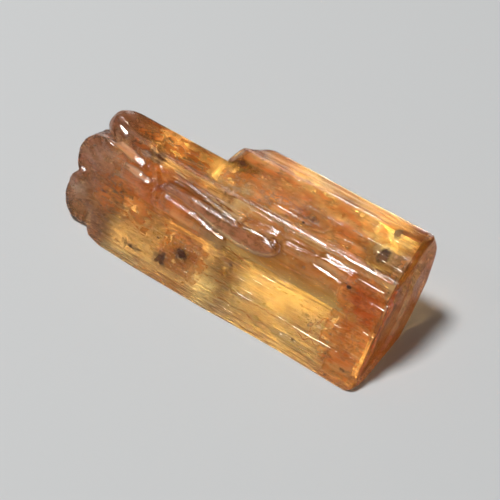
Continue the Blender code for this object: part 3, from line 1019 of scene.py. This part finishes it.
# %% Veils deeper in
VEILS = [  # name, span along, span round, depth, wave, strength, seed, look, fade
    ("top_deep", (-16.2, -1.5), (9.6, 13.4), 1.6, 0.5, 0.8, 62, "peach_veil", 0.25),
    ("front", (-15.5, -1.0), (5.6, 9.3), 0.9, 0.3, 0.6, 63, "peach_veil", 0.25),
    ("front_deep", (-26.0, -16.0), (3.8, 8.8), 1.3, 0.5, 0.9, 64, "peach_veil", 0.25),
    ("left", (-28.6, -19.5), (1.6, 8.6), 0.8, 0.35, 0.7, 65, "rust_veil", 0.25),
    ("middle", (-20.6, -14.2), (0.3, 4.6), 0.7, 0.3, 0.8, 67, "rust_veil", 0.25),
    # veil_gold and veil_gold_left fill the bright golden zone of the front: painted glow of light that
    # bounces inside the stone, not droplets
    ("gold", (-15.0, -3.2), (0.2, 5.1), 1.1, 0.3, 0.6, 79, "gold_veil", 0.1),
    ("gold_left", (-25.6, -15.4), (0.2, 3.6), 0.9, 0.3, 0.6, 60, "gold_veil", 0.12),
    ("shoulder", (-17.8, -15.2), (0.3, 5.2), 0.3, 0.1, 0.5, 78, "brown_veil", 0.4),
    ("brown", (-19.8, -15.2), (0.1, 4.6), 0.35, 0.1, 0.7, 77, "brown_veil", 0.25),
    ("right", (-4.6, -0.3), (0.3, 9.2), 0.6, 0.3, 0.7, 68, "rust_veil", 0.15),
    ("right_deep", (-4.0, -0.6), (0.3, 8.8), 1.8, 0.6, 0.8, 73, "peach_veil", 0.15),
    ("corner", (-3.6, -0.3), (0.2, 2.6), 0.5, 0.15, 0.8, 74, "peach_veil", 0.25)]
for name, *numbers in VEILS:
    veil(f"veil_{name}", *numbers)
print("veils", len(VEILS))

# %% Frosting, painted highlights and smudges
SMUDGE_DEPTH, SMUDGE_WAVE, SMUDGE_FADE, ELLIPSE = 0.25, 0.05, 0.36, 2.0

by_ridge = between(-17.0, -8.6, 0.8) * (1.0 - soft_step(T + 1.0, T + 2.3, around))
ridge_side = by_ridge * np.clip(0.5 + 0.7 * rough_noise(along * 0.8, around * 1.4, 69), 0.0, 0.9)
ridge_side = ridge_side * (1.0 - np.clip(over_smudge, 0.0, 1.0))
inner_sheet("frosting_top", (-17.0, -8.5), np.arange(top_at - 4, top_at + 40), 0.08, ridge_side, "frost_and_highlight")
# The pale sheet in the two scoops under the ridge: frost, and a painted reflection of the sky in the hollows.
inner_sheet("frost_and_sky_sheen_scoops", (-28.2, -21.6), np.arange(60, top_at + 12), 0.07, scoops, "frost_and_sky_sheen")
# A pale sheet in the etched lobes: frost, and painted highlights where the lobes are glossy.
veil("frost_and_highlight_left", (-28.4, -25.6), (5.6, 7.4), 0.3, 0.1, 0.8, 70, "frost_and_highlight")
# A pale patch near the cleaved end: a painted highlight streak, drawn with the frosting look.
veil("painted_highlight_right", (-5.7, -4.1), (2.8, 3.9), 0.25, 0.05, 0.8, 71, "frost_and_highlight")
veil("frosting_crest", (-2.0, -0.3), (9.4, 11.8), 0.25, 0.05, 0.8, 72, "frost_and_highlight")
for number, (x, a, wide, high) in enumerate(SMUDGES):
    veil(f"smudge_{number}", (x - wide / 2, x + wide / 2), (a - high / 2, a + high / 2), SMUDGE_DEPTH,
         SMUDGE_WAVE, 1.0, 80 + number, "smoke", SMUDGE_FADE, ELLIPSE)
print("smudges", len(SMUDGES))

# %% [markdown]
# ## Fine dark cracks
# The photograph shows hooks, loops and forks of hair-thin lines in the stone. They are cracks that a brown
# stain has followed. Each is a thin tube along a path that was read off the face, a little under the skin.

# %% Tubes


def tube(name, spine, thick, sides, aside, material):
    """A closed tube: round each point of the spine a ring of points, as far as its thickness says."""
    run = np.gradient(spine, axis=0)
    side = np.cross(run, aside)
    side /= np.linalg.norm(side, axis=-1, keepdims=True)
    other = np.cross(run, side)
    other /= np.linalg.norm(other, axis=-1, keepdims=True)
    turn = 2.0 * np.pi * np.arange(sides)[:, None] / sides
    ring = np.cos(turn) * side[:, None, :] + np.sin(turn) * other[:, None, :]
    return add_piece(name, closed_skin(name, spine[:, None, :] + thick[:, None, None] * ring), material)


def thread(name, path, depth, thickness, wiggle, seed):
    """A fine crack: a tube along a path under the skin, moved sideways by wiggle * noise."""
    points = np.array(path, float)
    legs = np.concatenate([[0.0], np.cumsum(np.hypot(*np.diff(points, axis=0).T))])
    t = np.linspace(0.0, legs[-1], max(12, int(legs[-1] / 0.12)))
    x = np.interp(t, legs, points[:, 0]) + wiggle * rough_noise(t * 1.9, 0.0 * t, seed, 3)
    a = np.interp(t, legs, points[:, 1]) + wiggle * rough_noise(t * 2.3, 0.0 * t + 5.0, seed, 3)
    thick = thickness * np.sqrt(np.maximum(1.0 - (2.0 * t / t[-1] - 1.0) ** 4, 0.0))
    return tube(name, under_skin(x, a, np.full_like(x, depth)), thick, 5, (0.0, -0.81, 0.58), crack_dark)


def two_toned(name, roughness, fine, seed, first, second):
    """An opaque material between two colours, as fine noise says."""
    made, shader, place = new_shader(name, Roughness=roughness)
    connect(shader, Base_Color=texture(place, (fine,) * 3, 2.0, seed).mix((*first, 1.0), (*second, 1.0)))
    return made


# %% Threads
crack_dark = two_toned("crack_dark", 0.4, 4000.0, 5.0, (0.2, 0.07, 0.02), (0.5, 0.22, 0.08))
THIN_THREADS = {
    "hook": [(-14.2, 5.9), (-14.35, 5.6), (-14.2, 5.3), (-14.0, 5.2)],
    "tail": [(-12.8, 4.75), (-12.2, 4.85), (-11.7, 4.55), (-11.2, 4.6)],
    "loop": [(-5.4, 2.3), (-5.0, 3.0), (-4.4, 3.9), (-3.9, 4.3), (-3.5, 5.2)],
    "loop_side": [(-3.6, 5.3), (-3.3, 4.0), (-3.2, 3.0), (-3.6, 2.5), (-4.4, 2.8)],
    "loop_low": [(-5.9, 2.2), (-5.2, 1.9), (-4.6, 2.2), (-4.1, 1.8)],
    "step": [(-15.4, 2.35), (-12.0, 2.3), (-8.0, 2.36), (-5.3, 2.3)],
    "step_low": [(-13.9, 1.2), (-11.0, 1.1), (-8.5, 1.15)],
    "crown": [(-20.6, 9.6), (-19.4, 9.8), (-18.0, 10.0)],
    "crown_back": [(-22.8, 10.3), (-21.4, 10.5), (-20.3, 10.3), (-19.0, 10.6)],
    "fork": [(-20.3, 9.0), (-19.0, 9.2), (-18.0, 9.5), (-17.0, 9.55)],
    "gold_edge": [(-14.3, 5.0), (-13.5, 5.15), (-12.6, 4.95), (-11.6, 5.2)],
    "left_low": [(-27.6, 2.8), (-25.5, 2.7), (-23.5, 2.9), (-21.5, 2.75)],
    "left_mid": [(-27.0, 4.2), (-25.0, 4.1), (-22.5, 4.3)],
    "right": [(-2.8, 7.9), (-2.4, 6.6), (-2.9, 5.2), (-2.3, 4.1)],
    "right_low": [(-1.9, 4.6), (-1.6, 3.4), (-2.1, 2.2)]}
BOLD_THREADS = [  # name, path, depth, thickness, wiggle
    ("channel", CRACK, 0.5, 0.06, 0.06),
    ("channel_low", [(-20.4, 8.2), (-18.6, 8.0), (-17.0, 7.8), (-15.4, 7.62)], 0.5, 0.045, 0.05),
    ("tip", [(-12.0, 7.62), (-10.6, 7.6), (-9.8, 7.3), (-9.65, 6.7), (-10.2, 6.2), (-11.4, 5.9)],
     0.1, 0.05, 0.03)]
THIN_DEPTH, THIN, THIN_WIGGLE = 0.12, 0.028, 0.14

for number, (name, path) in enumerate(THIN_THREADS.items()):
    thread(f"thread_{name}", path, THIN_DEPTH, THIN, THIN_WIGGLE, 110 + number)
for number, (name, *numbers) in enumerate(BOLD_THREADS):
    thread(f"thread_{name}", *numbers, 130 + number)
print("threads", len(THIN_THREADS) + len(BOLD_THREADS))

# %% [markdown]
# ## Specks and the needle star
# A few grains of a dark mineral were shut in as the stone grew. One of them, low on the left, has needles
# growing out of it in all directions. Grains and needles are solid and dark.

# %% Specks and needles


def pebble(name, centre, radii, seed):
    """A speck: a sphere from two angles, its radius changed by noise."""
    u, v = np.meshgrid(np.linspace(0, np.pi, 10), np.linspace(0, 2 * np.pi, 13)[:-1], indexing="ij")
    size = 1.0 + 0.25 * noise(np.cos(v) * 1.3 + 5.0, u * 1.5, seed) * np.sin(u)
    ball = np.stack([np.cos(u), -np.sin(u) * np.cos(v), np.sin(u) * np.sin(v)], axis=-1) * size[..., None]
    return add_piece(name, closed_skin(name, centre + ball * np.array(radii)), dark_mineral)


def needle(name, start, stop, thickness):
    """A needle: a straight tube from start to stop, thickest in the middle."""
    t = np.linspace(0, 1, 9)
    thick = thickness * np.sqrt(np.maximum(4 * t * (1 - t), 0.0))
    return tube(name, start + t[:, None] * (stop - start), thick, 6, (0.3, 0.5, 0.8), dark_mineral)


def spot(along, around, depth):
    """One point under the skin."""
    return under_skin(np.array(along), np.array(around), np.array(depth))


dark_mineral = two_toned("dark_mineral", 0.35, 9000.0, 9.0, (0.012, 0.01, 0.008), (0.08, 0.045, 0.025))
SPECKS = [  # place along and round the stone, size
    (-3.6, 7.2, 0.16), (-3.9, 7.35, 0.07), (-9.0, 9.92, 0.1), (-2.6, 0.25, 0.08), (-21.9, 1.0, 0.14),
    (-22.5, 0.95, 0.1), (-19.8, 2.84, 0.1), (-1.2, 9.6, 0.07), (-0.7, 8.3, 0.06), (-11.8, 1.9, 0.05),
    (-7.3, 6.2, 0.05), (-6.1, 8.6, 0.05)]
STAR = (-22.3, 1.0, 0.35)
NEEDLE_TIPS = [  # place along and round the stone, depth
    (-23.4, 0.75, 0.2), (-23.1, 1.35, 0.5), (-22.6, 1.5, 0.2), (-21.3, 1.3, 0.3), (-21.1, 0.85, 0.5),
    (-20.7, 1.1, 0.3), (-22.5, 0.45, 0.3)]
SPECK_DEPTH, NEEDLE_THICKNESS = 0.25, 0.035

for number, (x, a, size) in enumerate(SPECKS):
    pebble(f"speck_{number}", spot(x, a, SPECK_DEPTH), (size * 1.3, size, size * 0.8), 90 + number)
for number, tip in enumerate(NEEDLE_TIPS):
    needle(f"needle_{number}", spot(*STAR), spot(*tip), NEEDLE_THICKNESS)
print("specks", len(SPECKS), "needles", len(NEEDLE_TIPS))

# %% [markdown]
# ## The floor and the room
# The photograph shows the stone on pale paper. The room gives a little light, less from above than from the
# sides, so that the faces which look up stay clear.

# %% Floor and room
PAPER = (0.68, 0.69, 0.69, 1.0)
ROOM = (0.96, 0.98, 1.0, 1.0)
GLOW_SIDE, GLOW_TOP = 0.38, 0.06
FLOOR_GAP = 0.02 * MM
FLOOR_HALF = 2

floor_mesh = bpy.data.meshes.new("floor")
square = ((-1, -1), (1, -1), (1, 1), (-1, 1))
floor_mesh.from_pydata([(x * FLOOR_HALF, y * FLOOR_HALF, -FLOOR_GAP) for x, y in square], [], [(0, 1, 2, 3)])
floor = put("floor", floor_mesh)
floor_only = bpy.data.collections.new("floor_only")
floor_only.objects.link(floor)
floor_mesh.materials.append(new_shader("paper", Base_Color=PAPER, Roughness=0.9)[0])
floor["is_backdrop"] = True

world = bpy.data.worlds.new("studio")
bpy.context.scene.world = world
world.use_nodes = True
sky = Value(world.node_tree, world.node_tree.nodes.new("ShaderNodeTexCoord").outputs["Generated"])
height_above = sky.node("ShaderNodeSeparateXYZ", out="Z", i0=sky)
glow = height_above.step(0.02, 0.42) * (GLOW_TOP - GLOW_SIDE) + GLOW_SIDE
background = world.node_tree.nodes["Background"]
background.inputs["Color"].default_value = ROOM
world.node_tree.links.new(glow.socket, background.inputs["Strength"])

# %% [markdown]
# ## The lamps
# The shadow in the photograph is short and soft, so the main light stands almost straight above. It is made
# as two lamps: one lights only the stone and one only the paper, so that the stone is bright while its shadow
# stays dark. The others are the bright edges and faces that a clear stone mirrors.

# %% Lamps
LAMPS = [  # name, direction, distance, size, watts, what it lights
    ("key_softbox", (-0.25, -0.39, 0.885), 0.45, 0.11, 2.1, stone_only),
    ("floor_softbox", (-0.24, -0.07, 0.97), 0.45, 0.1, 1.6, floor_only),
    ("gleam_softbox", (-0.38, -0.53, 0.76), 0.45, 0.05, 0.04, None),
    ("panel_softbox", (-0.37, -0.33, 0.87), 0.6, 0.24, 0.12, stone_only),
    ("back_softbox", (-0.43, 0.86, 0.25), 0.5, 0.27, 0.5, stone_only),
    ("crown_softbox", (-0.39, 0.49, 0.78), 0.45, 0.12, 0.14, stone_only)]


def aim(made, location, way):
    """Moves a lamp or a camera and turns its back to the way, so that it looks the other way."""
    made.location = location
    made.rotation_mode = "QUATERNION"
    made.rotation_quaternion = way.to_track_quat("Z", "Y")


def softbox(name, way, distance, size, watts, lit):
    """A round area light at a distance in a direction, facing the stone and hidden from the camera.

    It lights only what is in the collection that is given, or everything.
    """
    data = bpy.data.lights.new(name, "AREA")
    data.shape, data.size, data.energy = "DISK", size, watts
    lamp = put(name, data)
    way = Vector(way).normalized()
    aim(lamp, way * distance, way)
    lamp.visible_camera = False
    lamp.light_linking.receiver_collection = lit


for lamp_numbers in LAMPS:
    softbox(*lamp_numbers)
print("lamps", len(LAMPS))

# %% [markdown]
# ## The camera
# The photograph was taken from above and to the right, from 50 degrees up, with a long lens. A clear stone
# needs many bounces, because light goes round inside it before it comes out.

# %% Camera
AZIMUTH, ELEVATION = math.radians(37.17), math.radians(50.0)
CAMERA_PLACE = (0.03549, -0.04429, 0.06877)
LENS, SENSOR = 79.2, 36.0

camera_data = bpy.data.cameras.new("camera")
camera_data.lens, camera_data.sensor_width, camera_data.clip_start = LENS, SENSOR, 0.005
camera = put("camera", camera_data)
level = math.cos(ELEVATION)
back = Vector((math.sin(AZIMUTH) * level, -math.cos(AZIMUTH) * level, math.sin(ELEVATION)))
aim(camera, CAMERA_PLACE, back)
bpy.context.scene.camera = camera
bpy.context.scene.view_settings.view_transform = "Standard"
cycles = bpy.context.scene.cycles
cycles.max_bounces, cycles.glossy_bounces, cycles.transmission_bounces = 24, 16, 24
cycles.sample_clamp_indirect = 60.0

# %% Sizes and finish
low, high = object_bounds()
print("visual box in mm", [round(v * 1000, 2) for v in (*low, *high)])
